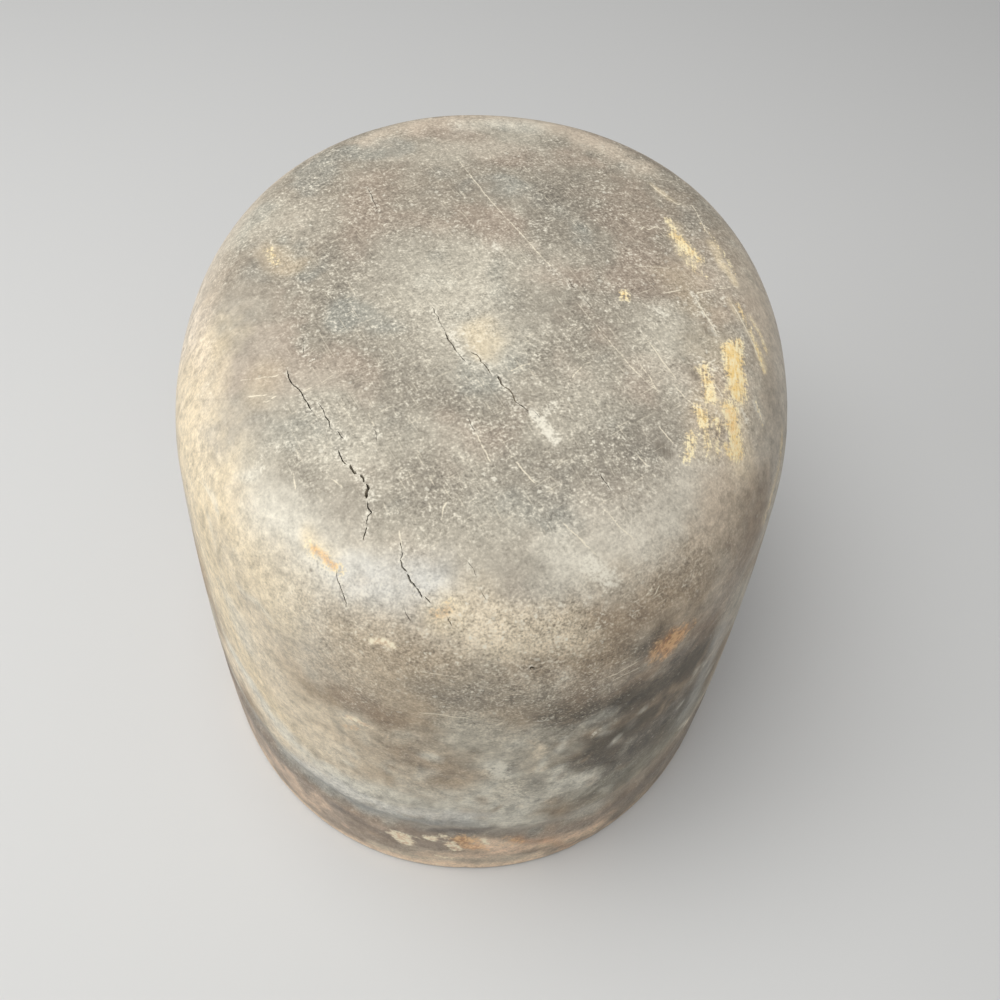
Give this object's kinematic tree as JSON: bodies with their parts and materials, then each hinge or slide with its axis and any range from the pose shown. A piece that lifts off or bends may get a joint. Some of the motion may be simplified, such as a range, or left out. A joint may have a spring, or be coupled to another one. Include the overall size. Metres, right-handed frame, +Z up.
{
  "type": "hat block",
  "caption": "Oval wooden crown block for shaping hats, glued from boards, with a rounded crown edge, a shallow tie-cord groove near the foot and an iron spindle socket underneath.",
  "frame": {"origin": "middle of the foot, on the plane that the block rests on", "axes": "+Z up to the crown tip, +Y along the oval's long axis to its fuller end, +X to the right seen from the narrower end"},
  "size_m": [0.1682, 0.194, 0.141],
  "materials": {
    "block_wood": "old, dry and grey-brown, rubbed smooth on the wall",
    "dowel_wood": "plain turned hardwood",
    "socket_iron": "browned, with light rust",
    "screw_steel": "dull, darkened with age"
  },
  "bodies": {
    "root": {"crown_board": "block_wood", "middle_board": "block_wood", "base_board": "block_wood", "upper_dowel_front": "dowel_wood", "upper_dowel_rear": "dowel_wood", "lower_dowel_left": "dowel_wood", "lower_dowel_right": "dowel_wood", "socket_flange": "socket_iron", "flange_screw_1": "screw_steel", "flange_screw_2": "screw_steel", "flange_screw_3": "screw_steel", "flange_screw_4": "screw_steel"}
  },
  "joints": []
}
